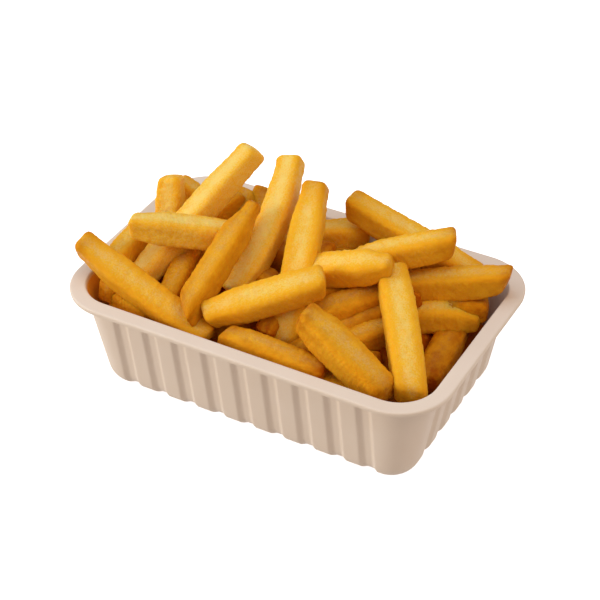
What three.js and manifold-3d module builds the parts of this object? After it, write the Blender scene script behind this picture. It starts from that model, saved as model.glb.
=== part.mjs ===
// A ribbed, moulded takeaway tray heaped with thick-cut french fries. Millimetres, +Z up.
// The origin is the middle of the tray's flat base, +X runs along the long side and the front is -Y.
import * as THREE from "three";
import Module from "manifold-3d";

// Driving dimensions of the tray
const LENGTH = 170; // rim, outside, along X
const WIDTH = 108; // rim, outside, along Y
const HEIGHT = 47.5;
const RIM_CORNER = 22.5; // radius of the rim's outer corners
const RIM_WIDTH = 6.8; // flat rim, from its outer edge to the inner edge
const RIM_ROUND = 0.8; // how softly the rim turns over at either edge
const LIP_DROP = 2.2; // how far the rim's outer edge turns down
const LIP_TAPER = 0.1; // the turned-down lip leans in by this much
const SHEET = 1.1; // thickness of the moulded wall
const LEAN_LENGTH = 8.8; // how far each short side leans in from rim to base
const LEAN_WIDTH = 5.8; // the same for each long side
const BASE_CORNER = 11; // radius of the wall's corners at the base
const BASE_EDGE = 8; // radius of the round edge between wall and base
const CORNER_STEPS = 8;

// Grooves pressed into the four sides; the ribs stand between them
const GROOVE_DEPTH = 1.4;
const GROOVE_FLAT = 2.6; // width of a groove's bottom
const GROOVE_MOUTH = 7.8; // width of a groove where it meets the ribs
const GROOVE_FADE = 7.5; // the grooves run out over this height below the rim
const LONG_SIDE = { count: 9, pitch: 13.8 };
const SHORT_SIDE = { count: 5, pitch: 12.1 };

// The fries
const THICK = 12; // usual thickness of a fry
const TRAY_GAP = 0.4; // the heap stays this far off the tray
const FRY_STATIONS = [0, 0.06, 0.3, 0.7, 0.94, 1]; // sections along a fry, as shares of its length
const SECTION = [1, 0.5, -0.5, -1, -1, -0.5, 0.5, 1].map((x, i, all) => [x, all[(i + 6) % 8]]);
const TIP = 0.7; // share of the section left at a fry's very end, where the end is fully blunt
const SHOULDER = 0.3; // the same just inside the end, where the end is fully pointed
const CORE_RINGS = [
  // height above the tray's floor, how far in from the wall, and how far towards the back
  { up: 0, inset: BASE_EDGE, back: 0 },
  { up: BASE_EDGE, inset: 0, back: 0 },
  { up: 20, inset: 0, back: 0 },
  { up: 26, inset: 6, back: 0 },
  { up: 30, inset: 15, back: 3 },
  { up: 36, inset: 23, back: 9 },
  { up: 41, inset: 34, back: 15 },
];

// Fries that show, by where each starts and ends, its width and its depth. turn rolls it about its own
// length in degrees, sway and rise bow its middle sideways and upwards, and blunt says how much of
// the section is left at each end.
const FRIES = [
  // left end of the tray
  fry([-82.6, -31, 60.6], [-19, -38, 39], 13, 12, { turn: 20, rise: -2, blunt: [0.75, 0.7] }),
  fry([-70, 18, 67.7], [-66, 4, 34], 12, 11),
  fry([-73, 27, 58], [-54, 29, 44], 10, 10),
  fry([-39.5, 36, 79.8], [-62, -28, 42], 12, 12),
  fry([-65, -20, 67.4], [-29, 2, 60], 12, 12, { blunt: [0.75, 0.85] }),
  fry([-72, 2, 53], [-71, -27, 51], 10, 10),
  fry([-50, 3, 49], [-44, -29, 43], 10, 10),
  fry([-67, -33, 40], [-47, -35, 37.5], 12, 12),
  fry([-68.5, -2, 42], [-68.4, -37.2, 43], 11, 11),
  // middle
  fry([-24, 10, 73], [-29, -38, 48], 11.5, 11, { blunt: [0.35, 0.95] }),
  fry([-23.4, 39, 78.5], [-23, -12, 43], 13, 12, { sway: 4, blunt: [0.8, 0.9] }),
  fry([-5.5, 28, 78.1], [7, -23, 35], 14, 12, { blunt: [0.7, 0.9] }),
  fry([-21.4, -34.9, 47.3], [17.6, -8.0, 60.3], 14, 13, { turn: 20, blunt: [0.7, 0.85] }),
  fry([-12, -38, 41.8], [33, -37.5, 39.5], 12, 12),
  fry([-46, 40, 53.5], [-42, 25, 42], 11, 11),
  fry([-39.6, 44, 55.4], [-36, 32, 41], 11, 11),
  fry([-47, 35, 54], [-57, 15, 47], 11, 11),
  // right end
  fry([18, -26.5, 56.5], [60, -38, 41], 15, 13, { blunt: [0.75, 0.9] }),
  fry([36.5, 13, 58], [69, -34, 40], 14, 13, { rise: 3, blunt: [0.9, 0.95] }),
  fry([3, 3.5, 52.5], [40, 6, 66], 13, 13, { turn: 20, blunt: [0.9, 0.55] }),
  fry([20, 14, 56], [55, 32, 66], 12, 12, { blunt: [0.8, 0.9] }),
  fry([4, 39, 64.6], [64, 37, 47], 13, 12),
  fry([-18, 26, 47], [12, 41, 51], 12, 12, { blunt: [0.8, 0.7] }),
  fry([36, 19, 45], [78.5, 32.5, 55.2], 12, 12, { blunt: [0.9, 0.8] }),
  fry([16, -13, 43.8], [38, 12, 47.8], 14, 14),
  fry([45, 9, 39], [71, 23, 38], 12, 12, { rise: 2, blunt: [0.9, 0.6] }),
  fry([52, 16, 40], [72, 29, 41], 12, 12),
  fry([62.5, 20, 33], [66.5, -16, 32], 13, 11),
  fry([33, -24, 43], [45, 2, 41], 11, 11),
  fry([29, -34, 34], [50, -35, 34], 12, 12),
];

// Fries that fill in between, laid on the core
const FILL_TRIES = 3000;
const FILL_REACH = { x: 72, y: 41 }; // farthest their middles may lie from the tray's own middle
const FILL_LENGTHS = [60, 52, 44, 36, 28]; // the longest that fits is laid
const FILL_PERCH = 2.5; // their own middle lines lie this far above the core
const SHARES = [0, 0.2, 0.4, 0.6, 0.8, 1]; // places along two fries where their distance is measured
const CLOSEST = 6; // least distance from the middle line of one to that of any other fry
const EVEN_RATIO = 1.1673; // powers of this ratio give three evenly spread sequences

const Z_AXIS = new THREE.Vector3(0, 0, 1);

function fry(from, to, wide, deep, { turn = 0, sway = 0, rise = 0, blunt = [0.85, 0.85] } = {}) {
  const [start, end] = [new THREE.Vector3(...from), new THREE.Vector3(...to)];
  return { start, end, wide, deep, turn, sway, rise, blunt };
}

// A closed solid from rings of points that all run the same way round, each end closed by a fan.
function skin(rings) {
  const count = rings[0].length;
  const points = rings.flat();
  const faces = [];
  rings.slice(1).forEach((upper, i) => {
    for (let j = 0; j < count; j++) {
      const k = (j + 1) % count;
      const [a, b, c, d] = [i * count + j, i * count + k, (i + 1) * count + k, (i + 1) * count + j];
      faces.push(a, b, c, a, c, d);
    }
  });
  [0, rings.length - 1].forEach((i) => {
    const middle = new THREE.Vector3();
    rings[i].forEach((p) => middle.addScaledVector(p, 1 / count));
    points.push(middle);
    for (let j = 0; j < count; j++) {
      const [a, b] = [i * count + j, i * count + ((j + 1) % count)];
      faces.push(points.length - 1, ...(i ? [a, b] : [b, a]));
    }
  });
  return new THREE.BufferGeometry().setFromPoints(points).setIndex(faces);
}

// Places along a side where its outline bends, each with its own depth.
// spread widens the grooves, for the inner face of the wall.
function bends({ count, pitch }, { press, spread = 0 }) {
  return Array.from({ length: count }, (_, i) => (i - (count - 1) / 2) * pitch).flatMap((middle) => [
    [middle - GROOVE_MOUTH / 2 - spread, 0],
    [middle - GROOVE_FLAT / 2 - spread, press],
    [middle + GROOVE_FLAT / 2 + spread, press],
    [middle + GROOVE_MOUTH / 2 + spread, 0],
  ]);
}

// One ring: a rounded rectangle, counterclockwise from above, with grooves pressed into its sides.
function ring({ halfLength, halfWidth, corner }, z, groove) {
  return [0, 1, 2, 3].flatMap((side) => {
    const long = side % 2 === 0;
    const [half, reach] = long ? [halfLength, halfWidth] : [halfWidth, halfLength];
    const straight = groove
      ? bends(long ? LONG_SIDE : SHORT_SIDE, groove).map(([along, depth]) => [along, reach - depth])
      : [];
    const round = Array.from({ length: CORNER_STEPS + 1 }, (_, i) => {
      const angle = ((i / CORNER_STEPS) * Math.PI) / 2;
      return [half - corner + corner * Math.sin(angle), reach - corner + corner * Math.cos(angle)];
    });
    return [...straight, ...round].map(([along, out]) =>
      new THREE.Vector3(along, -out, z).applyAxisAngle(Z_AXIS, (side * Math.PI) / 2),
    );
  });
}

// The outline of the wall's outside at height z, moved in by inset: the wall leans in towards the base.
function wallOutline(z, inset) {
  const lean = 1 - z / HEIGHT;
  const top = RIM_WIDTH - SHEET;
  return {
    halfLength: LENGTH / 2 - top - LEAN_LENGTH * lean - inset,
    halfWidth: WIDTH / 2 - top - LEAN_WIDTH * lean - inset,
    corner: Math.max(3, THREE.MathUtils.lerp(RIM_CORNER - top, BASE_CORNER, lean) - inset),
  };
}

// A ring of the rim, inset from its outer edge.
function rimRing(inset, z) {
  const [halfLength, halfWidth, corner] = [LENGTH / 2, WIDTH / 2, RIM_CORNER].map((size) => size - inset);
  return ring({ halfLength, halfWidth, corner }, z, { press: 0 });
}

// Rings of one face of the wall, from the flat floor round the base edge and up to the end of the grooves.
function wallRings(floor, inset, spread) {
  const radius = BASE_EDGE - inset;
  const groove = { press: GROOVE_DEPTH, spread };
  const edge = [0, 45, 90].map((degrees) => {
    const angle = THREE.MathUtils.degToRad(degrees);
    const z = floor + radius * (1 - Math.cos(angle));
    return ring(wallOutline(z, inset + radius * (1 - Math.sin(angle))), z, groove);
  });
  return [...edge, ring(wallOutline(HEIGHT - GROOVE_FADE, inset), HEIGHT - GROOVE_FADE, groove)];
}

// The tray: up the outside, out under the rim, over it, and down the inside to the floor.
function trayGeometry() {
  const under = HEIGHT - SHEET;
  return skin([
    ...wallRings(0, 0, 0),
    ring(wallOutline(under, 0), under, { press: 0 }),
    rimRing(SHEET, under),
    rimRing(SHEET, HEIGHT - LIP_DROP),
    rimRing(LIP_TAPER, HEIGHT - LIP_DROP),
    rimRing(0, HEIGHT - RIM_ROUND),
    rimRing(RIM_ROUND, HEIGHT),
    rimRing(RIM_WIDTH - RIM_ROUND, HEIGHT),
    rimRing(RIM_WIDTH, HEIGHT - RIM_ROUND),
    ...wallRings(SHEET, SHEET, SHEET / 2).reverse(),
  ]);
}

// Outline and height of one ring of the heap's core.
function coreLevel({ up, inset, back }) {
  const z = SHEET + TRAY_GAP + up;
  return { z, back, outline: wallOutline(z, SHEET + GROOVE_DEPTH + TRAY_GAP + inset) };
}

// The heap's core: it follows the wall from the floor up, then rises to a mound behind the middle.
function coreGeometry() {
  return skin(
    CORE_RINGS.map(coreLevel).map(({ z, back, outline }) =>
      ring(outline, z).map((p) => p.add(new THREE.Vector3(0, back, 0))),
    ),
  );
}

// Height of the core's top under a place.
function coreTop(x, y) {
  const levels = CORE_RINGS.slice(1).map(coreLevel);
  const rooms = levels.map(({ outline, back }) => roomIn(outline, { x, y: y - back }));
  const inside = rooms.findLastIndex((room) => room > 0);
  if (inside < 0) return levels[0].z;
  if (inside === levels.length - 1) return levels[inside].z;
  const share = rooms[inside] / (rooms[inside] - rooms[inside + 1]);
  return THREE.MathUtils.lerp(levels[inside].z, levels[inside + 1].z, share);
}

// One fry: an eight-sided section carried along a slightly bowed line, narrowing to its ends.
function fryGeometry({ start, end, wide, deep, turn, sway, rise, blunt }) {
  const along = end.clone().sub(start).normalize();
  const side = new THREE.Vector3().crossVectors(Z_AXIS, along).normalize();
  const up = new THREE.Vector3().crossVectors(along, side);
  const [tip, shoulder] = [blunt.map((b) => TIP * b), blunt.map((b) => THREE.MathUtils.lerp(SHOULDER, 1, b))];
  const size = [tip[0], shoulder[0], 1, 1, shoulder[1], tip[1]];
  return skin(
    FRY_STATIONS.map((share, i) => {
      const bow = 4 * share * (1 - share);
      const middle = start.clone().lerp(end, share);
      middle.addScaledVector(side, sway * bow).addScaledVector(up, rise * bow);
      return SECTION.map(([x, y]) => {
        const across = side.clone().multiplyScalar((x * wide * size[i]) / 2);
        across.addScaledVector(up, (y * deep * size[i]) / 2);
        return across.applyAxisAngle(along, THREE.MathUtils.degToRad(turn)).add(middle);
      });
    }),
  );
}

// How far a point lies inside an outline; negative when it is outside.
function roomIn({ halfLength, halfWidth, corner }, point) {
  const x = Math.abs(point.x) - (halfLength - corner);
  const y = Math.abs(point.y) - (halfWidth - corner);
  return corner - Math.hypot(Math.max(x, 0), Math.max(y, 0)) - Math.min(Math.max(x, y), 0);
}

// A point on the straight line between a fry's ends.
const along = ({ start, end }, share) => start.clone().lerp(end, share);

// True where a filling fry is clear of the wall, and far enough from every fry that is already there.
function fits(one, others) {
  const need = THICK / 2 + SHEET + GROOVE_DEPTH + TRAY_GAP;
  const clearOfWall = [one.start, one.end].every((p) => roomIn(wallOutline(p.z, 0), p) > need);
  return (
    clearOfWall &&
    others.every((other) =>
      SHARES.every((a) => SHARES.every((b) => along(one, a).distanceTo(along(other, b)) > CLOSEST)),
    )
  );
}

// A filling fry of one length, with its middle at x, y.
function laid(x, y, heading, length) {
  const alongX = (length / 2) * Math.cos(heading);
  const alongY = (length / 2) * Math.sin(heading);
  const [first, middle, last] = [-1, 0, 1].map((share) => coreTop(x + share * alongX, y + share * alongY));
  const lift = FILL_PERCH + Math.max(0, middle - (first + last) / 2);
  return fry([x - alongX, y - alongY, first + lift], [x + alongX, y + alongY, last + lift], THICK, THICK);
}

// The filling fries: evenly spread places and headings, each kept only where it fits.
function fillingFries() {
  const even = (k, axis) => (0.5 + k / EVEN_RATIO ** (axis + 1)) % 1;
  const all = [...FRIES];
  for (let k = 0; k < FILL_TRIES; k++) {
    const x = (2 * even(k, 0) - 1) * FILL_REACH.x;
    const y = (2 * even(k, 1) - 1) * FILL_REACH.y;
    const lengths = FILL_LENGTHS.map((length) => laid(x, y, even(k, 2) * Math.PI, length));
    const one = lengths.find((each) => fits(each, all));
    if (one) all.push(one);
  }
  return all.slice(FRIES.length);
}

// The heap as one solid: the core and the fries joined, with sealed hollows and loose scraps left out.
async function heapGeometry() {
  const wasm = await Module();
  wasm.setup();
  const solid = (geometry) => {
    const vertProperties = geometry.getAttribute("position").array;
    const triVerts = new Uint32Array(geometry.index.array);
    return new wasm.Manifold(new wasm.Mesh({ numProp: 3, vertProperties, triVerts }));
  };
  const pieces = [...FRIES, ...fillingFries()].map((one) => solid(fryGeometry(one)));
  const joined = pieces.reduce((heap, piece) => heap.add(piece), solid(coreGeometry()));
  const largest = joined.decompose().reduce((a, b) => (a.volume() > b.volume() ? a : b));
  const mesh = largest.getMesh();
  return new THREE.BufferGeometry()
    .setAttribute("position", new THREE.BufferAttribute(new Float32Array(mesh.vertProperties), 3))
    .setIndex(new THREE.BufferAttribute(new Uint32Array(mesh.triVerts), 1));
}

function named(name, geometry, material) {
  const mesh = new THREE.Mesh(geometry, new THREE.MeshStandardMaterial(material));
  mesh.name = name;
  return mesh;
}

const part = new THREE.Group();
part.add(named("tray", trayGeometry(), { color: "#e3dad2", roughness: 0.55, metalness: 0 }));
part.add(named("fries", await heapGeometry(), { color: "#e9b040", roughness: 0.5, metalness: 0 }));

export default part;
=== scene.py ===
# %% [markdown]
# # Thick-cut fries in a ribbed tray
#
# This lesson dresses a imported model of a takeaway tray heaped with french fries.
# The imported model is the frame: it fixes the size and the place of all that is made here.
# Its two nodes are plain faceted solids, and each is replaced by a finer surface of the same form.

# %% The frame
import math

import bpy
import numpy as np
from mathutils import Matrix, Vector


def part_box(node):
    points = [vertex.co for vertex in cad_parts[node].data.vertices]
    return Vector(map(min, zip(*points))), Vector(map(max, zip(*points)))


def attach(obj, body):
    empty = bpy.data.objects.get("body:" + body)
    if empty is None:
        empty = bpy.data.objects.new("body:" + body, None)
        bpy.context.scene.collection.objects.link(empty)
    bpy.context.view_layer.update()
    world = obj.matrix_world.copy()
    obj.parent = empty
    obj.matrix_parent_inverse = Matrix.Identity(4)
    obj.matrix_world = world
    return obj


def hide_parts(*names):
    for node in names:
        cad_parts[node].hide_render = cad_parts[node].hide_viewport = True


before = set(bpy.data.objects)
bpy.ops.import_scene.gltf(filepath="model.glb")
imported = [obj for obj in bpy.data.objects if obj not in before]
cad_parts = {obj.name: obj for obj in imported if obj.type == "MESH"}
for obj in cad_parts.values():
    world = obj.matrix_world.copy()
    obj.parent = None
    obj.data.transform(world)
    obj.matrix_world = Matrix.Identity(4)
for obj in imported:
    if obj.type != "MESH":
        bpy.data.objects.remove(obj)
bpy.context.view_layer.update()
MM = 0.001


# %% [markdown]
# ## The camera
#
# A camera looks down on the tray from the front right, far enough back that lines hardly converge.
# It could be aimed at an empty by a Track To constraint. Working its axes out from three angles is
# as short, and shows what an object's matrix is: its right, up and back axes and its place, side
# by side. A small roll about the back axis leans the picture as a hand-held camera does. The lens
# follows from a focal length in pixels, because the picture is laid out in pixels.

# %% Placing by axes


def level_axes(back):
    """Right, up and back axes: right is level, square to back, and up is square to both."""
    right = np.cross([0, 0, 1], back)
    right /= np.linalg.norm(right)
    return right, np.cross(back, right), back


def stand(thing, axes, place):
    """Links a camera or light to the scene, with its axes and its place as its matrix's columns."""
    bpy.context.scene.collection.objects.link(thing)
    matrix = np.eye(4)
    matrix[:3, :3] = np.column_stack(axes)
    matrix[:3, 3] = place
    thing.matrix_world = matrix.T.tolist()  # Blender takes a list of columns


# %% Camera
AZIMUTH, ELEVATION, ROLL = np.radians([30.3, 38.6, -1.5])
DISTANCE = 700 * MM
TARGET = np.array([0, 0, 23.75]) * MM  # half way up the tray
SENSOR_WIDTH = 36  # mm, Blender's default
FRAME_PX = 600
FOCAL_PX = 1690
SHIFT_PX = np.array([2.5, 29.3])  # the heap rises above the target, so the view is moved up


def camera_axes(azimuth, elevation, roll):
    """Level axes with back at an azimuth and elevation, right and up then turned about it by roll."""
    level = math.cos(elevation)
    back = np.array([math.sin(azimuth) * level, -math.cos(azimuth) * level, math.sin(elevation)])
    right, up, back = level_axes(back)
    cosine, sine = math.cos(roll), math.sin(roll)
    return right * cosine + up * sine, up * cosine - right * sine, back


def add_camera():
    """A camera that looks at TARGET. Its lens is to its sensor as the focal length is to the frame."""
    data = bpy.data.cameras.new("camera")
    data.sensor_width = SENSOR_WIDTH
    data.lens = data.sensor_width * FOCAL_PX / FRAME_PX
    data.shift_x, data.shift_y = SHIFT_PX / FRAME_PX
    camera = bpy.data.objects.new("camera", data)
    axes = camera_axes(AZIMUTH, ELEVATION, ROLL)
    stand(camera, axes, TARGET + axes[2] * DISTANCE)
    bpy.context.scene.camera = camera
    return camera


camera = add_camera()
print("camera at", [round(value, 3) for value in camera.matrix_world.translation], "m")

# %% [markdown]
# ## From a grid of points to a mesh
#
# Every piece here is a stack of closed rings, like a lampshade: the wall of the tray, each fry and
# the heap's core. In edit mode, Bridge Edge Loops could join the rings a pair at a time. Here one
# function joins them all with quads and closes both ends at a pole. It works on whole arrays, so
# a ring of a thousand points costs no more code than one of ten.

# %% Faces between rings


def ring_faces(rows, columns):
    """Quads between neighbouring rings, and a fan of triangles from each end ring to its pole."""
    index = np.arange(rows * columns).reshape(rows, columns)
    ahead = np.roll(index, -1, axis=1)
    quads = np.stack([index[:-1], ahead[:-1], ahead[1:], index[1:]], axis=-1).reshape(-1, 4)
    first = np.stack([np.full(columns, rows * columns), ahead[0], index[0]], axis=-1)
    last = np.stack([np.full(columns, rows * columns + 1), index[-1], ahead[-1]], axis=-1)
    return quads, np.concatenate([first, last])


def with_poles(rings):
    """The rings' points as a list, followed by the mean of the first and of the last ring."""
    return np.concatenate([rings.reshape(-1, rings.shape[-1]), rings[[0, -1]].mean(axis=1)])


def join_stacks(stacks):
    """All stacks' points in one list, and all their quads and triangles, numbered to match."""
    points, quads, triangles, offset = [], [], [], 0
    for rings in stacks:
        four, three = ring_faces(*rings.shape[:2])
        points.append(with_poles(rings))
        quads.append(four + offset)
        triangles.append(three + offset)
        offset += len(points[-1])
    return map(np.concatenate, (points, quads, triangles))


# %% Mesh from rings


def add_mesh(name, stacks, attributes=()):
    """A mesh in metres from stacks of rings. Each ring holds x, y, z in mm, then the attributes."""
    points, quads, triangles = join_stacks(stacks)
    corners = np.concatenate([quads.ravel(), triangles.ravel()]).astype(np.int32)
    starts = np.concatenate([np.arange(len(quads)) * 4, quads.size + np.arange(len(triangles)) * 3])
    mesh = bpy.data.meshes.new(name)
    mesh.vertices.add(len(points))
    mesh.vertices.foreach_set("co", (points[:, :3] * MM).astype(np.float32).ravel())
    mesh.loops.add(len(corners))
    mesh.loops.foreach_set("vertex_index", corners)
    mesh.polygons.add(len(starts))
    mesh.polygons.foreach_set("loop_start", starts.astype(np.int32))
    mesh.polygons.foreach_set("use_smooth", np.ones(len(starts), dtype=bool))
    mesh.update(calc_edges=True)
    column = 3
    for label, kind, width in attributes:
        values = points[:, column : column + width].astype(np.float32)
        field = "vector" if width == 3 else "value"
        mesh.attributes.new(label, kind, "POINT").data.foreach_set(field, values.ravel())
        column += width
    piece = bpy.data.objects.new(name, mesh)
    bpy.context.scene.collection.objects.link(piece)
    print(name, "has", 2 * len(quads) + len(triangles), "triangles")
    return piece


def smooth(value):
    """Smoothstep: 0 below 0, 1 above 1, and 3v^2 - 2v^3 between."""
    value = np.clip(value, 0, 1)
    return value * value * (3 - 2 * value)


# %% [markdown]
# ## The tray's outline
#
# The tray is one thin moulded sheet. Seen from above each level is a rectangle with round corners,
# with grooves pressed into its sides, and the ribs are what is left between the grooves.
# The walls lean in towards the base, so trays stack inside each other. A box could be bevelled,
# hollowed and cut with grooves, but cuts in so thin a sheet leave ragged shading. Here the grooves
# are a part of the outline's formula, so they fade and bend with it. The outer sizes come from the
# frame, and the rest are the mould's own dimensions.

# %% Tray dimensions in mm
low, high = (np.array(corner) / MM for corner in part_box("tray"))
LENGTH, WIDTH, HEIGHT = high - low
SHEET = 1.1
RIM_WIDTH = 6.8
RIM_CORNER = 22.5  # radius of the rim's outer corners
RIM_ROUND = 0.8  # how softly the rim turns over at either edge
LIP_DROP = 2.2  # how far the rim's outer edge turns down
LIP_TAPER = 0.1  # how far the lip's lower end leans in
WALL_TOP = RIM_WIDTH - SHEET  # the wall's outside lies this far inside the rim's edge
LEAN_LENGTH, LEAN_WIDTH = 8.8, 5.8  # how far the short and long sides lean in
BASE_CORNER = 11  # radius of the wall's corners at the base
BASE_EDGE = 8  # radius of the round edge between wall and base
LEAST_CORNER = 3  # corners on the floor get no sharper than this
print("tray", np.round([LENGTH, WIDTH, HEIGHT], 1), "mm")

# %% Groove dimensions in mm
GROOVE_DEPTH = 1.4
GROOVE_FLAT = 2.6  # width at full depth
GROOVE_MOUTH = 7.8  # width at the face of the ribs
GROOVE_FADE = 7.5  # grooves run out over this height below the rim
GROOVE_MARGIN = 0.7  # columns of points reach this far past a groove's mouth
GROOVE_POINTS = 21  # columns of points across a groove
CORNER_POINTS = 17  # columns of points round a corner of the tray
LONG_SIDE = (9, 13.8)  # how many grooves, and their pitch
SHORT_SIDE = (5, 12.1)
QUARTER_TURNS = ((1, 0), (0, 1), (-1, 0), (0, -1))  # cosine and sine for each side
print(2 * (LONG_SIDE[0] + SHORT_SIDE[0]), "grooves")

# %% Outline of the tray at any level


def outline(z, inset, wall=1.0):
    """Half length, half width and corner radius at height z, moved in by inset.

    On the wall (wall = 1) each of the three shrinks in proportion to the depth below the rim.
    On the rim (wall = 0) it doesn't.
    """
    lean = 1 - np.asarray(z) / HEIGHT
    half_length = LENGTH / 2 - inset - wall * (WALL_TOP + LEAN_LENGTH * lean)
    half_width = WIDTH / 2 - inset - wall * (WALL_TOP + LEAN_WIDTH * lean)
    corner = RIM_CORNER - inset - wall * (WALL_TOP + (RIM_CORNER - WALL_TOP - BASE_CORNER) * lean)
    return half_length, half_width, np.maximum(corner, LEAST_CORNER)


print("base", [round(2 * float(half), 1) for half in outline(0, 0)[:2]], "mm")

# %% Rings of the tray


def groove_share(along, side, spread):
    """How deep the groove is at each place: 0 on a rib, 1 on a groove's flat, a smoothstep between."""
    count, pitch = side
    nearest = np.clip(np.round(along / pitch), -(count // 2), count // 2) * pitch
    away = np.abs(along - nearest)[None, :]
    edge = GROOVE_MOUTH / 2 + spread[:, None]
    return smooth((edge - away) / ((GROOVE_MOUTH - GROOVE_FLAT) / 2))


def tray_rings(z, inset, wall=1.0, press=0.0, spread=0.0):
    """One ring for each z: four straight sides with grooves, and a quarter circle after each.

    The grooves are as deep as press, and wider than GROOVE_MOUTH by spread on either side.
    Where a straight side is shorter than its row of grooves, the row is squeezed to fit.
    """
    shapes = map(np.atleast_1d, (z, inset, wall, press, spread))
    z, inset, wall, press, spread = np.broadcast_arrays(*shapes)
    half_length, half_width, corner = outline(z, inset, wall)
    step = np.linspace(-1, 1, GROOVE_POINTS) * (GROOVE_MOUTH / 2 + GROOVE_MARGIN)
    angle = np.linspace(0, math.pi / 2, CORNER_POINTS)
    parts = []
    for turn, (cosine, sine) in enumerate(QUARTER_TURNS):
        side = (LONG_SIDE, SHORT_SIDE)[turn % 2]
        half, reach = ((half_length, half_width), (half_width, half_length))[turn % 2]
        middles = (np.arange(side[0]) - side[0] // 2) * side[1]
        straight = (middles[:, None] + step).ravel()
        pressed = press[:, None] * groove_share(straight, side, spread)
        squeeze = np.minimum(1, (half - corner) / straight.max())
        bend_along = (half - corner)[:, None] + corner[:, None] * np.sin(angle)
        bend_out = (reach - corner)[:, None] + corner[:, None] * np.cos(angle)
        along = np.concatenate([straight * squeeze[:, None], bend_along], axis=1)
        out = np.concatenate([reach[:, None] - pressed, bend_out], axis=1)
        parts.append(np.stack([along * cosine + out * sine, along * sine - out * cosine], axis=-1))
    flat = np.concatenate(parts, axis=1)
    level = np.broadcast_to(z[:, None, None], (*flat.shape[:2], 1))
    return np.concatenate([flat, level], axis=-1)


# %% [markdown]
# ## The tray's section
#
# Cut the tray in half and its section is one closed line: under the base, round the edge, up the
# wall, out under the flat rim, round the turned-down lip, over the top and down the inside.
# A Solidify modifier would thicken a single face, but the lip and the two floors need rings of
# their own. Each stretch is a short function that gives the heights and insets of its rings, so the
# order of the stretches below reads like a finger tracing that line.

# %% Stretches of the section
ROUND_STEPS, WALL_STEPS, FADE_STEPS = 9, 9, 10  # rings round the base edge, up the wall and below the rim
RIM_STEPS, LIP_STEPS = 7, 9  # rings round each edge of the rim and under the lip
FLOOR_RINGS = np.array([26, 12, 4, 1.5])  # rings on the floor, in from its round edge
FLOOR_PRESS = np.array([0, 0, 0.2, 0.7])  # the share of a groove's depth at each
RIM_UNDER = (WALL_TOP - 0.3, WALL_TOP / 2, SHEET + 0.4, SHEET)  # rings under the rim, in from its edge
RIM_OVER = (1.6, RIM_WIDTH / 2, RIM_WIDTH - 1.6)  # and on top of it


def quarter(radius, steps):
    """Quarter circle as (rise, run): rise = r (1 - cos a), run = r (1 - sin a)."""
    angle = np.linspace(0, math.pi / 2, steps)
    return radius * (1 - np.cos(angle)), radius * (1 - np.sin(angle))


def wall_face(floor, inset, spread):
    """Rings of one face of the wall, from the middle of the floor to just under the rim.

    The grooves start on the floor, keep their full depth up the wall and run out by a smoothstep
    near the top.
    """
    radius = BASE_EDGE - inset
    rise, run = quarter(radius, ROUND_STEPS)
    straight = np.linspace(floor + radius, HEIGHT - GROOVE_FADE, WALL_STEPS)[1:]
    fading = np.linspace(HEIGHT - GROOVE_FADE, HEIGHT - SHEET, FADE_STEPS)[1:]
    fade_press = GROOVE_DEPTH * smooth((HEIGHT - SHEET - fading) / GROOVE_FADE)
    return [
        tray_rings(floor, inset + radius + FLOOR_RINGS, press=GROOVE_DEPTH * FLOOR_PRESS, spread=spread),
        tray_rings(floor + rise, inset + run, press=GROOVE_DEPTH, spread=spread),
        tray_rings(straight, inset, press=GROOVE_DEPTH, spread=spread),
        tray_rings(fading, inset, press=fade_press, spread=spread),
    ]


def lip_round():
    """Rings under the rim, round the lip and over the rim's top to its inner edge, without grooves.

    The lip ends in a half circle, and the top turns over at either edge by a quarter circle.
    """
    half = (SHEET - LIP_TAPER) / 2
    angle = np.linspace(0, math.pi, LIP_STEPS)
    bottom = HEIGHT - LIP_DROP + half
    rise, run = quarter(RIM_ROUND, RIM_STEPS)
    return [
        tray_rings(HEIGHT - SHEET, RIM_UNDER, wall=0),
        tray_rings(bottom - half * np.sin(angle), LIP_TAPER + half + half * np.cos(angle), wall=0),
        tray_rings(HEIGHT - run, rise, wall=0),
        tray_rings(HEIGHT, RIM_OVER, wall=0),
        tray_rings(HEIGHT - rise, RIM_WIDTH - run, wall=0),
    ]


# %% Tray surface
BOUNCE_TOP, BOUNCE_FADE = 0.3, 2  # painted golden bounce from the fries starts this far below the rim, and grows over this height
BOUNCE_START, BOUNCE_REACH = -25, 40  # it starts left of this place, and grows over this length


def tray_surface():
    """The whole section, outside first, with the share of painted golden bounce as a fourth value.

    The painted bounce stands for the fries' golden light on the inner face, and lies there only:
    it grows by a smoothstep below the rim and towards one end.
    """
    outer = np.concatenate([*wall_face(0.0, 0.0, 0.0), *lip_round()])
    inner = np.concatenate(wall_face(SHEET, SHEET, SHEET / 2))[::-1]
    unbounced = np.zeros((*outer.shape[:2], 1))
    # painted reflection: the fries' golden light on the inner wall, growing below the rim and to the left
    painted_bounce = smooth((HEIGHT - BOUNCE_TOP - inner[..., 2:]) / BOUNCE_FADE)
    painted_bounce *= smooth((BOUNCE_START - inner[..., :1]) / BOUNCE_REACH)
    return np.concatenate([np.concatenate([outer, inner]), np.concatenate([unbounced, painted_bounce])], axis=-1)


tray = add_mesh("moulded_tray", [tray_surface()], (("painted_bounce", "FLOAT", 1),))

# %% [markdown]
# ## One fry
#
# A fry is a stick of potato cut square, so its section is a square with soft corners: a
# superellipse. Frying bends it, shrinks its faces a little and leaves its ends blunt or pointed.
# It could be a bevelled cube with Simple Deform and Displace modifiers, but each fry would need
# its own. The formula below carries the section along a bowed line, from a few sizes a fry.
# Low waves move it in and out by a fraction of a millimetre, which is what keeps a row of fries
# from looking machined.

# %% Waves
WAVE_COUNT = 14
WAVE_RANGE = (0.7, 1.4)  # each wave is this many times as fast as the wavelength says
WAVE_PEAK = 1.5  # nearly nine tenths of the sum lie within this many standard deviations


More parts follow.
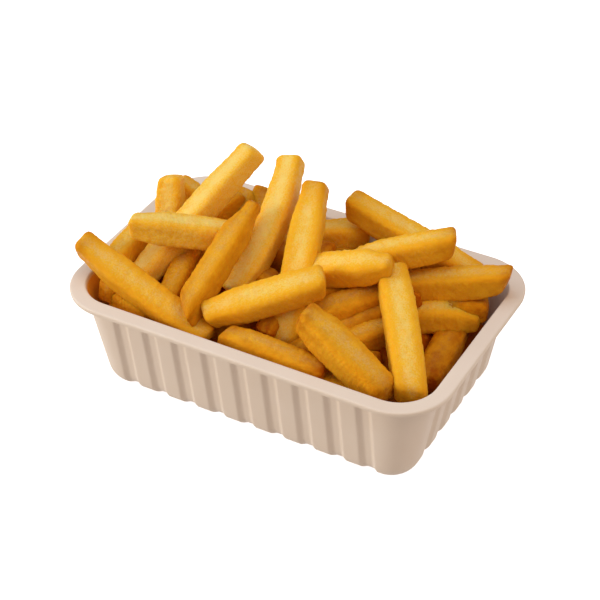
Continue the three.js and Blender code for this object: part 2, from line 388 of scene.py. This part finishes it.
def waves(points, length, seed):
    """Uneven relief of about -1 to 1: a sum of sines of like wavelength in random directions."""
    rng = np.random.default_rng(seed)
    heading = rng.normal(size=(3, WAVE_COUNT))
    heading *= 2 * math.pi / length / np.linalg.norm(heading, axis=0)
    heading *= rng.uniform(*WAVE_RANGE, WAVE_COUNT)
    phase = rng.uniform(0, 2 * math.pi, WAVE_COUNT)
    total = np.sin(points @ heading + phase).sum(axis=-1)
    return total * math.sqrt(2 / WAVE_COUNT) / WAVE_PEAK


# %% Sizes of a fry


def fry(
    start, end, wide, deep, turn=0, sway=0, rise=0, blunt=(0.85, 0.85), brown=(0.3, 0.3), tone_and_shading=0.0, slant=None
):
    """One fry by its two ends and its sizes, in mm and degrees. A pair has a value for each end.

    turn: how far it is turned about its own length
    sway, rise: how far its middle bows sideways and up
    blunt: how much of its thickness each end keeps
    brown: how toasted each end is
    tone: how much browner the whole fry is, or paler where it is negative. Besides the fry's own
    colour, it holds painted shade on fries low in the heap and painted light on fries in shade
    slant: how far each end's face leans across its width and depth; drawn at random if not given
    """
    return dict(
        start=np.array(start, float),
        end=np.array(end, float),
        wide=wide,
        deep=deep,
        turn=turn,
        sway=sway,
        rise=rise,
        blunt=blunt,
        brown=brown,
        tone_and_shading=tone_and_shading,
        slant=slant,
    )


def fry_axes(one):
    """Unit vectors along the fry, to its side (level) and up from it."""
    along = one["end"] - one["start"]
    along = along / np.linalg.norm(along)
    side = np.cross([0, 0, 1], along)
    side /= np.linalg.norm(side)
    return along, side, np.cross(along, side)


# %% A fry from end to end
LEAST_SHOULDER = 0.3  # a fry's most pointed end keeps this share of its section at the shoulder
STATIONS = (0.06, 0.30)  # it swells from shoulder to full size between these shares of its length
TIP_ROUND = 2.8  # radius of the round edge at a cut end
TIP_SHARE = 0.62  # what is left of the section on the cut face itself
DOME = 0.5  # how far a cut face bulges
DOME_RINGS = np.array([0.2, 0.5, 0.8])  # rings on it, as shares of its size
END_ZONE, END_ROWS = 5.0, 14  # rings are closer together over this length at each end


def fry_size(gap, length, blunt):
    """Share of the section that is left at distance gap from an end.

    It grows from the shoulder to 1 by a smoothstep, and the last stretch is a quarter circle.
    """
    shoulder = LEAST_SHOULDER + (1 - LEAST_SHOULDER) * blunt
    begin, full = STATIONS
    body = shoulder + (1 - shoulder) * smooth((gap / length - begin) / (full - begin))
    left = 1 - np.clip(gap / TIP_ROUND, 0, 1)
    return body * (TIP_SHARE + (1 - TIP_SHARE) * np.sqrt(1 - left * left))


def fry_stations(one, length, rows):
    """How far along the fry each ring lies, and the share of the section there.

    Rings crowd towards each end by 1 - cos a. Three more close it as a dome: height d (1 - r^2).
    """
    zone = min(END_ZONE, length / 4)
    near = zone * (1 - np.cos(np.linspace(0, math.pi / 2, END_ROWS)))
    body = np.linspace(zone, length - zone, rows - 2 * END_ROWS + 2)[1:-1]
    place = np.concatenate([near, body, length - near[::-1]])
    first, last = one["blunt"]
    size = np.minimum(fry_size(place, length, first), fry_size(length - place, length, last))

    dome = DOME * (1 - DOME_RINGS**2)
    place = np.concatenate([-dome, place, length + dome[::-1]])
    size = np.concatenate([DOME_RINGS * size[0], size, DOME_RINGS[::-1] * size[-1]])
    return place, size


# %% A fry all round
SLIM = 0.95  # a soft-cornered section is wider across its corners, so it is made this much smaller
HOLLOW = 0.02  # the middle of a face shrinks in by this share more
CORNER_POWER = (4.2, 5.6)  # a superellipse of power 2 is round, and a higher power is squarer
TWIST = 4  # an end may be twisted this many degrees either way
FLANK_BLEND = 0.5  # a narrow side turns into a wide one over this share of the half width
FLANK_CRUST_AND_SHADE = 0.65  # crust and painted shade on a fry's two narrower sides, which face sideways, as a share of the crust on its edges
RELIEF = ((0.15, 12, 0.4), (0.08, 4.2, 1), (0.09, 2.0, 1))  # height, wavelength, how fast it runs along
SLANT, SLANT_REACH = 0.3, 12  # most that a random end leans, and the length that leans with it
TOAST_REACH = 5  # toasting falls to about a third over this length from an end
TONE_SHARE = 0.5  # how much of the tone, with its painted shade and light, is added to brown
PATTERN_SHIFT = 500  # each fry's pattern is moved by up to this, so that no two match
ATTRIBUTES = (("local", "FLOAT_VECTOR", 3), ("edge", "FLOAT", 1), ("brown", "FLOAT", 1))


def fry_section(power, columns):
    """Directions all round, with the radius, edge and flank at each.

    radius: (|cos a|^p + |sin a|^p)^(-1/p), a square with soft corners
    edge: 0 in the middle of a face and 1 at a corner
    flank: 1 on the two narrower sides and 0 on the wider ones, by a smoothstep
    """
    angle = np.linspace(0, 2 * math.pi, columns, endpoint=False) + math.pi / 4
    cosine, sine = np.cos(angle), np.sin(angle)
    radius = (np.abs(cosine) ** power + np.abs(sine) ** power) ** (-1 / power)
    edge = (radius - 1) / (2 ** (0.5 - 1 / power) - 1)
    flank = smooth(0.5 + radius * (np.abs(cosine) - np.abs(sine)) / FLANK_BLEND)
    return cosine, sine, radius, edge, flank


def fry_rings(one, seed, rows=110, columns=56):
    """A fry as rings of points with their attributes.

    middle(s) = start + s (end - start) + 4 s (1 - s) (sway side + rise up)
    section(a) = fry_section scaled by width, depth and size, turned about the fry and waved
    """
    rng = np.random.default_rng(seed)
    along, side, up = fry_axes(one)
    length = np.linalg.norm(one["end"] - one["start"])
    place, size = fry_stations(one, length, rows)
    share = np.clip(place / length, 0, 1)
    gaps = np.maximum(place, 0), np.maximum(length - place, 0)

    cosine, sine, radius, edge, flank = fry_section(rng.uniform(*CORNER_POWER), columns)
    x = size[:, None] * radius * cosine * one["wide"] / 2
    y = size[:, None] * radius * sine * one["deep"] / 2
    twist = np.radians(one["turn"] + rng.uniform(-TWIST, TWIST) * (2 * share - 1))[:, None]
    x, y = x * np.cos(twist) - y * np.sin(twist), x * np.sin(twist) + y * np.cos(twist)

    local = np.stack([np.broadcast_to(place[:, None], x.shape), x, y], axis=-1)
    relief = sum(
        height * waves(local * [run, 1, 1], wavelength, seed + layer)
        for layer, (height, wavelength, run) in enumerate(RELIEF, start=1)
    )
    swell = SLIM + relief / (0.25 * (one["wide"] + one["deep"])) - HOLLOW * (1 - edge)
    x, y = x * swell, y * swell

    slant = rng.uniform(-SLANT, SLANT, (2, 2)) if one["slant"] is None else one["slant"]
    leaning = [(1 - smooth(gap / SLANT_REACH))[:, None] for gap in gaps]
    shift = sum(near * (x * across + y * down) for near, (across, down) in zip(leaning, slant))
    bow = (4 * share * (1 - share))[:, None, None]
    middle = one["start"] + place[:, None, None] * along + bow * (one["sway"] * side + one["rise"] * up)
    points = middle + shift[..., None] * along + x[..., None] * side + y[..., None] * up

    pattern = local + rng.uniform(-PATTERN_SHIFT, PATTERN_SHIFT, 3)
    # the sideways faces are painted amber, partly crust and partly painted shade
    crust_and_shade = np.broadcast_to(np.maximum(edge, FLANK_CRUST_AND_SHADE * flank), x.shape)
    toast_and_shade = sum(brown * np.exp(-gap / TOAST_REACH) for brown, gap in zip(one["brown"], gaps))
    # the tone adds painted shade to fries low in the heap and painted light to fries in shade
    toast_and_shade = np.broadcast_to((toast_and_shade + TONE_SHARE * one["tone_and_shading"])[:, None], x.shape)
    return np.concatenate([points, pattern, crust_and_shade[..., None], toast_and_shade[..., None]], axis=-1)


# %% [markdown]
# ## The fries that show
#
# The heap's look comes from where a few dozen fries lie. They could be dropped into the tray by
# a physics simulation, but nobody could say where one would end up. So these are placed one by
# one, each by its two ends. They are the same fries as the solid's, and keep its form. Ends that
# stuck out in the fryer came out browner, and a few fries are darker or paler all over. Part of
# that is the fries' own colour. The rest is painted: fries low in the heap are darker as painted
# shade, and some that lie in shade are paler as painted light.

# %% Fries placed one by one
# tones are partly each fry's own colour; positive ones low in the heap are painted shade, negative ones on
# fries in shade are painted light
FRIES = {
    "fries_left": [
        fry([-82.6, -31, 60.6], [-19, -38, 39], 13, 12, turn=20, rise=-2, blunt=(0.75, 0.7),
            tone_and_shading=0.3, slant=[(0, -0.1), (0, 0)]),
        fry([-70, 18, 67.7], [-66, 4, 34], 12, 11, tone_and_shading=-0.5, slant=[(-0.15, 0), (0, 0)]),
        fry([-73, 27, 58], [-54, 29, 44], 10, 10),
        fry([-39.5, 36, 79.8], [-62, -28, 42], 12, 12, brown=(0.3, 0.2), tone_and_shading=-0.9,
            slant=[(0.1, 0.26), (0, 0)]),
        fry([-65, -20, 67.4], [-29, 2, 60], 12, 12, blunt=(0.75, 0.85), brown=(0.3, 0.2), tone_and_shading=-0.7),
        fry([-72, 2, 53], [-71, -27, 51], 10, 10, tone_and_shading=0.1),
        fry([-50, 3, 49], [-44, -29, 43], 10, 10, tone_and_shading=0.35),
        fry([-67, -33, 40], [-47, -35, 37.5], 12, 12, tone_and_shading=0.2),
        fry([-68.5, -2, 42], [-68.4, -37.2, 43], 11, 11, tone_and_shading=0.3),
    ],
    "fries_middle": [
        fry([-24, 10, 73], [-29, -38, 48], 11.5, 11, blunt=(0.35, 0.95), tone_and_shading=0.6,
            slant=[(0, 0), (0.9, 0)]),
        fry([-23.4, 39, 78.5], [-23, -12, 43], 13, 12, sway=4, blunt=(0.8, 0.9), brown=(0.4, 0.2),
            tone_and_shading=-0.7, slant=[(-0.3, 0), (0, 0)]),
        fry([-5.5, 28, 78.1], [7, -23, 35], 14, 12, blunt=(0.7, 0.9), brown=(0.4, 0.2),
            slant=[(0, 0), (0, 0)]),
        fry([-21.4, -34.9, 47.3], [17.6, -8.0, 60.3], 14, 13, turn=20, blunt=(0.7, 0.85),
            brown=(0.3, 0.25), slant=[(0, -0.25), (0, 0.2)]),
        fry([-12, -38, 41.8], [33, -37.5, 39.5], 12, 12, brown=(0.3, 0.5), tone_and_shading=0.6),
        fry([-46, 40, 53.5], [-42, 25, 42], 11, 11, tone_and_shading=0.25),
        fry([-39.6, 44, 55.4], [-36, 32, 41], 11, 11, brown=(0.5, 0.3), tone_and_shading=0.25),
        fry([-47, 35, 54], [-57, 15, 47], 11, 11, tone_and_shading=0.35),
    ],
    "fries_right": [
        fry([18, -26.5, 56.5], [60, -38, 41], 15, 13, blunt=(0.75, 0.9), brown=(0.4, 0.3), tone_and_shading=0.5),
        fry([36.5, 13, 58], [69, -34, 40], 14, 13, rise=3, blunt=(0.9, 0.95)),
        fry([3, 3.5, 52.5], [40, 6, 66], 13, 13, turn=20, blunt=(0.9, 0.55)),
        fry([20, 14, 56], [55, 32, 66], 12, 12, blunt=(0.8, 0.9), brown=(0.2, 0.5), tone_and_shading=0.1,
            slant=[(0, 0), (0, 0.4)]),
        fry([4, 39, 64.6], [64, 37, 47], 13, 12, brown=(0.5, 0.3), tone_and_shading=0.1, slant=[(0, -0.3), (0, 0)]),
        fry([-18, 26, 47], [12, 41, 51], 12, 12, blunt=(0.8, 0.7), tone_and_shading=-0.2),
        fry([36, 19, 45], [78.5, 32.5, 55.2], 12, 12, blunt=(0.9, 0.8), brown=(0.2, 0.5), tone_and_shading=0.3,
            slant=[(0, 0), (0.1, 0.6)]),
        fry([16, -13, 43.8], [38, 12, 47.8], 14, 14, tone_and_shading=0.6),
        fry([45, 9, 39], [71, 23, 38], 12, 12, rise=2, blunt=(0.9, 0.6), tone_and_shading=0.2),
        fry([52, 16, 40], [72, 29, 41], 12, 12, tone_and_shading=0.9),
        fry([62.5, 20, 33], [66.5, -16, 32], 13, 11, tone_and_shading=1.05),
        fry([33, -24, 43], [45, 2, 41], 11, 11, tone_and_shading=0.5),
        fry([29, -34, 34], [50, -35, 34], 12, 12, tone_and_shading=0.5),
    ],
}
shown = [one for group in FRIES.values() for one in group]
for group, (name, fries) in enumerate(FRIES.items()):
    add_mesh(name, [fry_rings(one, 1000 * group + 10 * i) for i, one in enumerate(fries)], ATTRIBUTES)

# %% [markdown]
# ## The core and the fries between
#
# Nobody sees the middle of a heap, so a plain core fills it, and only the layer over the core is
# real fries. The core follows the wall and then rises to a mound. The fries between are laid on it
# by a rule: evenly spread places are tried in turn, and the longest fry that fits is kept. Random
# places would do too, but they clump. The same rule made the solid's fries, so both heaps agree.
# What shows of the core and of the fries between lies deep in the gaps, so both are painted dark
# brown as painted shade.

# %% Core
THICK = 12  # width and depth of the fries between
TRAY_GAP = 0.4  # the heap stays this clear of the tray
CLEAR = SHEET + GROOVE_DEPTH + TRAY_GAP  # from the wall's outer face to the heap
CORE_PAINTED_SHADE = 1.4  # painted shade: what shows of it lies deep between fries, so it is painted dark
CORE_RINGS = 40
CORE_LEVELS = np.array(  # height above the floor, distance in from the wall, shift to the back
    [(0, 8, 0), (8, 0, 0), (20, 0, 0), (26, 6, 0), (30, 15, 3), (36, 23, 9), (41, 34, 15)], float
)
core_z = SHEET + TRAY_GAP + CORE_LEVELS[:, 0]
core_half = outline(core_z, CLEAR + CORE_LEVELS[:, 1])
print("core up to", core_z[-1], "mm")


def room_in(half_length, half_width, corner, x, y):
    """How far a point lies inside a rounded rectangle; negative when it is outside."""
    across, deep = np.abs(x) - (half_length - corner), np.abs(y) - (half_width - corner)
    outside = np.hypot(np.maximum(across, 0), np.maximum(deep, 0))
    return corner - outside - np.minimum(np.maximum(across, deep), 0)


def core_top(x, y):
    """Height of the core's top under a place: a straight slope from each level to the next."""
    rooms = room_in(*(half[1:] for half in core_half), x, y - CORE_LEVELS[1:, 2])
    inside = np.flatnonzero(rooms > 0)
    if not len(inside):
        return core_z[1]
    i = inside[-1]
    if i == len(rooms) - 1:
        return core_z[-1]
    share = rooms[i] / (rooms[i] - rooms[i + 1])
    return core_z[i + 1] + share * (core_z[i + 2] - core_z[i + 1])


def core_surface():
    """The core's levels as rings, with finer ones between them."""
    fine = np.linspace(0, len(core_z) - 1, CORE_RINGS)
    levels = np.arange(len(core_z))
    z, inset, back = (np.interp(fine, levels, row) for row in (core_z, *CORE_LEVELS[:, 1:].T))
    rings = tray_rings(z, CLEAR + inset)
    rings[..., 1] += back[:, None]
    # painted shade: the core is painted dark brown, as the gaps it shows through are in shade
    edge, brown = (np.full((*rings.shape[:2], 1), value) for value in (0.0, CORE_PAINTED_SHADE))
    return np.concatenate([rings, rings, edge, brown], axis=-1)


# %% Fries between
TRIES = 3000
EVEN_RATIO = 1.1673  # the root of x^5 = x + 1; steps of its inverse powers spread evenly
REACH = (72, 41)  # places are tried this far from the middle, along and across
LENGTHS = (60, 52, 44, 36, 28)
PERCH = 2.5  # their middle lines lie this far above the core
SPINE = np.linspace(0, 1, 6)[:, None]  # where a fry's middle line is measured
CLOSEST = 6  # how near two middle lines may come
LEAST_DEEP_SHADE, DEEP_SHADE_RANGE = 0.75, 0.45  # painted shade: they lie deep, so they are all painted on the brown side
ROWS_BETWEEN, COLUMNS_BETWEEN = 80, 40  # little of them shows, so they have fewer points


def laid(x, y, heading, length):
    """A fry of one length on the core, lifted where the core bulges under its middle."""
    reach = length / 2 * np.array([math.cos(heading), math.sin(heading)])
    first, middle, last = (core_top(*(np.array([x, y]) + share * reach)) for share in (-1, 0, 1))
    lift = PERCH + max(0, middle - (first + last) / 2)
    return fry([*([x, y] - reach), first + lift], [*([x, y] + reach), last + lift], THICK, THICK)


def spine(one):
    """Points along the straight line between a fry's ends."""
    return one["start"] + SPINE * (one["end"] - one["start"])


def fries_between():
    """The fries that fill in: each is clear of the wall and of the middle lines of all others."""
    spines = np.array([spine(one) for one in shown])
    kept = []
    need = THICK / 2 + CLEAR
    for k in range(TRIES):
        even = (0.5 + k / EVEN_RATIO ** np.arange(1, 4)) % 1
        x, y = (2 * even[:2] - 1) * REACH
        for length in LENGTHS:
            one = laid(x, y, even[2] * math.pi, length)
            ends = np.array([one["start"], one["end"]])
            if room_in(*outline(ends[:, 2], 0), ends[:, 0], ends[:, 1]).min() <= need:
                continue
            if np.linalg.norm(spines[:, :, None] - spine(one), axis=-1).min() > CLOSEST:
                # painted shade: each fry between is painted browner because it lies deep
                kept.append({**one, "tone_and_shading": LEAST_DEEP_SHADE + DEEP_SHADE_RANGE * even[0]})
                spines = np.concatenate([spines, spine(one)[None]])
                break
    return kept


between = fries_between()
print(len(shown), "fries placed one by one and", len(between), "between them")
between_rings = [
    fry_rings(one, 5000 + 10 * i, ROWS_BETWEEN, COLUMNS_BETWEEN) for i, one in enumerate(between)
]
add_mesh("fries_between", between_rings, ATTRIBUTES)
add_mesh("heap_core", [core_surface()], ATTRIBUTES)

# %% [markdown]
# ## Materials
#
# Colours are written as the sRGB values that one reads off a swatch, and one function turns them
# to the linear values that the renderer wants. Another small function adds a shader node, sets it,
# links it and hands back its output. A material could be drawn in the shader editor as well, but
# written this way it is as short as its recipe, and its numbers can be worked out from real sizes.

# %% Colour and node helpers


def linear(code):
    """An sRGB hex colour as linear red, green, blue and alpha."""
    value = np.array([int(code[i : i + 2], 16) for i in (1, 3, 5)]) / 255
    value = np.where(value <= 0.04045, value / 12.92, ((value + 0.055) / 1.055) ** 2.4)
    return (*value.tolist(), 1.0)


def add(tree, kind, inputs=(), output=0, **settings):
    """Adds one shader node and returns one of its outputs.

    Its inputs are given by name, or in order as a list. Each is a plain value or a node's output.
    """
    node = tree.nodes.new("ShaderNode" + kind)
    for name, value in settings.items():
        setattr(node, name, value)
    given = inputs.items() if isinstance(inputs, dict) else enumerate(inputs)
    for key, value in given:
        if isinstance(value, bpy.types.NodeSocket):
            tree.links.new(value, node.inputs[key])
        else:
            node.inputs[key].default_value = value
    return node.outputs[output] if len(node.outputs) else None


def new_material(name):
    """A material without nodes, and its node tree."""
    material = bpy.data.materials.new(name)
    material.use_nodes = True
    material.node_tree.nodes.clear()
    return material, material.node_tree


def tinted(tree, base, layers):
    """A base colour with others blended over it in turn, each by its own share.

    A Mix node's colour sockets are its inputs 6 and 7 and its output 2.
    """
    colour = linear(base)
    for share, tint in layers:
        colour = add(tree, "Mix", {0: share, 6: colour, 7: linear(tint)}, output=2, data_type="RGBA")
    return colour


print("mid grey is", round(linear("#808080")[0], 3), "in linear values")

# %% [markdown]
# ## Fried potato
#
# A fry's crust is a thin, dry shell over pale potato, with a little oil on it. It is amber where it
# is thick, on the edges and the ends, and paler in the middle of each wide face where it is thin.
# The amber on the two narrow sides, which face sideways, is partly crust and partly painted shade.
# Browner fries have less of the pale colour, and deep ones are painted browner as painted shade.
# Fine blisters break up the shine, which the oil turns golden. An image could be wrapped round each
# fry, but it would repeat. Here each point carries its place on its own fry, how near an edge it is
# and how brown it is, with its painted shade, and noises of real sizes do the rest. Light goes a
# little way in and comes out more orange, so the shader scatters it under the surface.

# %% Fried potato
# the amber is crust and painted shade on the sideways faces; the darkest brown is toasting at the ends and
# painted shade deep in the heap
PALE, GOLD, AMBER, TOASTED_AND_SHADE = "#FBDD80", "#F8C534", "#F3A705", "#A64C00"
SHEEN = "#FFC040"  # oil on the crust, which shines golden
MOTTLE_MM, BLOTCH_MM, BLISTER_MM, GRAIN_MM = 4, 13, 1.3, 0.7
DRAWN = (0.75, 1, 1)  # mottling is drawn out along the fry
BLISTER_DEPTH, GRAIN_DEPTH = 0.6 * MM, 0.25 * MM
SCATTER_DEPTH = 3 * MM

# Each pattern is read from the first value to the second, and turned into the third to the fourth.
MOTTLE_PALES = (0.2, 0.66, 0, 1)
EDGE_PALES = (0.65, 0, 0, 1)
GRAIN_PALES = (0.35, 0.65, -0.35, 0.35)
EDGE_CRUSTS = (0.2, 1, 0, 0.4)
BLOTCH_CRUSTS = (0.45, 0.75, 0, 0.25)
MOTTLE_TOASTS = (0.3, 0.62, 0.55, 1.3)
BLISTER_ROUGHENS = (0.3, 0.7, 0.62, 0.48)
BROWN_DULLS, BROWN_CRUSTS = 0.8, 0.4


def crust_colour(tree, local, edge, brown, grain):
    """Gold, then pale by how bare a face is, amber by crust and painted shade on the sideways faces, and
    dark brown by brown, which holds toasting and painted shade.

    pale = mottle x face + grain - 0.8 brown; amber = edge + blotch + 0.4 brown; dark = mottle x brown
    """
    drawn = add(tree, "Mapping", {"Vector": local, "Scale": DRAWN})
    spots = {"Vector": drawn, "Scale": 1 / MOTTLE_MM, "Detail": 4.0, "Roughness": 0.62}
    mottle = add(tree, "TexNoise", spots)
    blotch = add(tree, "TexNoise", {"Vector": drawn, "Scale": 1 / BLOTCH_MM, "Detail": 2.0})

    spotted = add(tree, "MapRange", [mottle, *MOTTLE_PALES])
    bare = add(tree, "MapRange", [edge, *EDGE_PALES])
    pale = add(tree, "Math", [spotted, bare], operation="MULTIPLY")
    speckle = add(tree, "MapRange", [grain, *GRAIN_PALES])
    pale = add(tree, "Math", [pale, speckle], operation="ADD")
    dulled = add(tree, "Math", [brown, BROWN_DULLS], operation="MULTIPLY")
    pale = add(tree, "Math", [pale, dulled], operation="SUBTRACT")

    thick = add(tree, "MapRange", [edge, *EDGE_CRUSTS])
    thicker = add(tree, "MapRange", [blotch, *BLOTCH_CRUSTS])
    crust_and_shade = add(tree, "Math", [thick, thicker], operation="ADD")
    crusted = add(tree, "Math", [brown, BROWN_CRUSTS], operation="MULTIPLY")
    crust_and_shade = add(tree, "Math", [crust_and_shade, crusted], operation="ADD")

    toast_and_shade = add(tree, "MapRange", [mottle, *MOTTLE_TOASTS])
    toast_and_shade = add(tree, "Math", [brown, toast_and_shade], operation="MULTIPLY")
    return tinted(tree, GOLD, [(pale, PALE), (crust_and_shade, AMBER), (toast_and_shade, TOASTED_AND_SHADE)])


def fried_potato():
    """Golden crust: pale mottled faces, amber edges, toasted ends, blistered and slightly oily.

    The amber of the sideways faces and the dark brown of deep pieces are partly painted shade.
    """
    material, tree = new_material("fried_potato")
    local = add(tree, "Attribute", output="Vector", attribute_name="local")
    edge = add(tree, "Attribute", output="Fac", attribute_name="edge")
    brown = add(tree, "Attribute", output="Fac", attribute_name="brown")
    bubbles = {"Vector": local, "Scale": 1 / BLISTER_MM, "Detail": 3.0, "Roughness": 0.6}
    blister = add(tree, "TexNoise", bubbles)
    grain = add(tree, "TexNoise", {"Vector": local, "Scale": 1 / GRAIN_MM, "Detail": 2.0})
    blisters = add(tree, "Bump", {"Height": blister, "Strength": 0.45, "Distance": BLISTER_DEPTH})
    rough = {"Height": grain, "Strength": 0.4, "Distance": GRAIN_DEPTH, "Normal": blisters}
    shader = add(
        tree,
        "BsdfPrincipled",
        {
            "Base Color": crust_colour(tree, local, edge, brown, grain),
            "Roughness": add(tree, "MapRange", [blister, *BLISTER_ROUGHENS]),
            "Normal": add(tree, "Bump", rough),
            "IOR": 1.45,
            "Specular IOR Level": 0.35,
            "Specular Tint": linear(SHEEN),
            "Subsurface Weight": 0.45,
            "Subsurface Radius": (1.0, 0.6, 0.15),
            "Subsurface Scale": SCATTER_DEPTH,
        },
    )
    add(tree, "OutputMaterial", {"Surface": shader})
    return material


potato = fried_potato()
print(potato.name, "has", len(potato.node_tree.nodes), "nodes")

# %% [markdown]
# ## Moulded tray stock
#
# Trays like this are pressed from a thin sheet of filled bioplastic. The sheet is off-white and
# faintly clouded, and the mould leaves it satin, with a fine grain that softens highlights. On the
# inner face at the left end, below the rim, the golden light that the fries throw onto the wall is
# painted into its colour as a painted reflection. Two noises on Object coordinates make cloud and
# grain, because they need no unwrapping and run round the corners without a seam.

# %% Moulded tray stock
# the third colour is painted reflection, the golden light that the fries throw onto the inner wall
STOCK, STOCK_WARM, PAINTED_BOUNCE_GOLD = "#EDE4DC", "#E8DCD1", "#FCBC44"
CLOUD_MM = 18
SHEET_GRAIN_MM = 0.5  # the mould's own grain is finer, and is drawn this coarse so that it shows
SHEET_GRAIN_DEPTH = 0.15 * MM
GRAIN_ROUGHENS = (0.3, 0.7, 0.48, 0.58)


def moulded_bioplastic():
    """Off-white satin sheet with a faint cloud in its colour, painted golden bounce and a fine grain."""
    material, tree = new_material("moulded_bioplastic")
    place = add(tree, "TexCoord", output="Object")
    cloud = add(tree, "TexNoise", {"Vector": place, "Scale": 1 / (CLOUD_MM * MM), "Detail": 3.0})
    grain = add(tree, "TexNoise", {"Vector": place, "Scale": 1 / (SHEET_GRAIN_MM * MM), "Detail": 2.0})
    painted_bounce = add(tree, "Attribute", output="Fac", attribute_name="painted_bounce")
    grained = {"Height": grain, "Strength": 0.12, "Distance": SHEET_GRAIN_DEPTH}
    shader = add(
        tree,
        "BsdfPrincipled",
        {
            "Base Color": tinted(tree, STOCK, [(cloud, STOCK_WARM), (painted_bounce, PAINTED_BOUNCE_GOLD)]),
            "Roughness": add(tree, "MapRange", [grain, *GRAIN_ROUGHENS]),
            "Normal": add(tree, "Bump", grained),
            "IOR": 1.47,
        },
    )
    add(tree, "OutputMaterial", {"Surface": shader})
    return material


bioplastic = moulded_bioplastic()
print(bioplastic.name, "has", len(bioplastic.node_tree.nodes), "nodes")

# %% [markdown]
# ## Dressing the pieces
#
# Each piece gets its material and is tied to the imported model. It rides on the model's one body,
# and the plain solid that it stands for is hidden.

# %% Dressing the pieces
heap = [bpy.data.objects[name] for name in (*FRIES, "fries_between", "heap_core")]
dressed = [(tray, bioplastic, "tray")] + [(piece, potato, "fries") for piece in heap]
for piece, material, node in dressed:
    piece.data.materials.append(material)
    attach(piece, "root")
    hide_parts(node)
print(len(dressed), "pieces dressed")

# %% [markdown]
# ## Floor and light
#
# The key is large, cool and high on the left, as a skylight is, so its shadows have no hard edge.
# A smaller warm light skims in low from the left front and draws the ribs, and a weak one from the
# right opens the shaded sides. Even warm light from all round keeps the gaps from going black.
# More light could turn the floor white, but it would bleach the tray too. The floor glows a little
# by itself instead, and doesn't throw that glow back onto the walls.

# %% Floor
FLOOR, GLOW = "#FEFEFE", "#F0F6FF"
GLOW_STRENGTH = 0.8
FLOOR_HALF = 3.0  # metres from its middle to its edge


def add_floor():
    """A wide square of pale matte paper at the height that the tray stands on, without a shine."""
    mesh = bpy.data.meshes.new("floor")
    corners = [(x * FLOOR_HALF, y * FLOOR_HALF, 0) for x, y in ((-1, -1), (1, -1), (1, 1), (-1, 1))]
    mesh.from_pydata(corners, [], [(0, 1, 2, 3)])
    floor = bpy.data.objects.new("floor", mesh)
    bpy.context.scene.collection.objects.link(floor)
    material, tree = new_material("matte_backdrop_paper")
    glow = {"Emission Color": linear(GLOW), "Emission Strength": GLOW_STRENGTH}
    shader = add(tree, "BsdfPrincipled", {"Base Color": linear(FLOOR), "Roughness": 0.9, **glow})
    add(tree, "OutputMaterial", {"Surface": shader})
    mesh.materials.append(material)
    floor.visible_diffuse = False
    return floor


print(add_floor().name, "is", 2 * FLOOR_HALF, "m wide")

# %% Light
LIGHTS = {  # place and size in metres, power in watts, colour
    "key": ((-0.5, -0.05, 1.2), 1.6, 7.9, "#CFE8FF"),
    "side": ((-1.15, -0.88, 0.5), 0.6, 10.6, "#FFF3DF"),
    "fill": ((0.85, -0.1, 0.95), 0.8, 4.4, "#FFEAD4"),
}
SKY, SKY_STRENGTH = "#FFE3C8", 0.42


def add_light(name, place, size, power, colour):
    """A square area light that faces the middle of the tray."""
    data = bpy.data.lights.new(name, "AREA")
    data.size, data.energy, data.color = size, power, linear(colour)[:3]
    back = np.array(place) - TARGET
    stand(bpy.data.objects.new(name, data), level_axes(back / np.linalg.norm(back)), place)


def add_sky(colour, strength):
    """Even light from all round."""
    world = bpy.data.worlds.new("studio")
    world.use_nodes = True
    background = world.node_tree.nodes["Background"]
    background.inputs["Color"].default_value = linear(colour)
    background.inputs["Strength"].default_value = strength
    bpy.context.scene.world = world


for name, light in LIGHTS.items():
    add_light(name, *light)
add_sky(SKY, SKY_STRENGTH)
bpy.context.scene.view_settings.view_transform = "Standard"
print(len(LIGHTS), "lights and a sky")
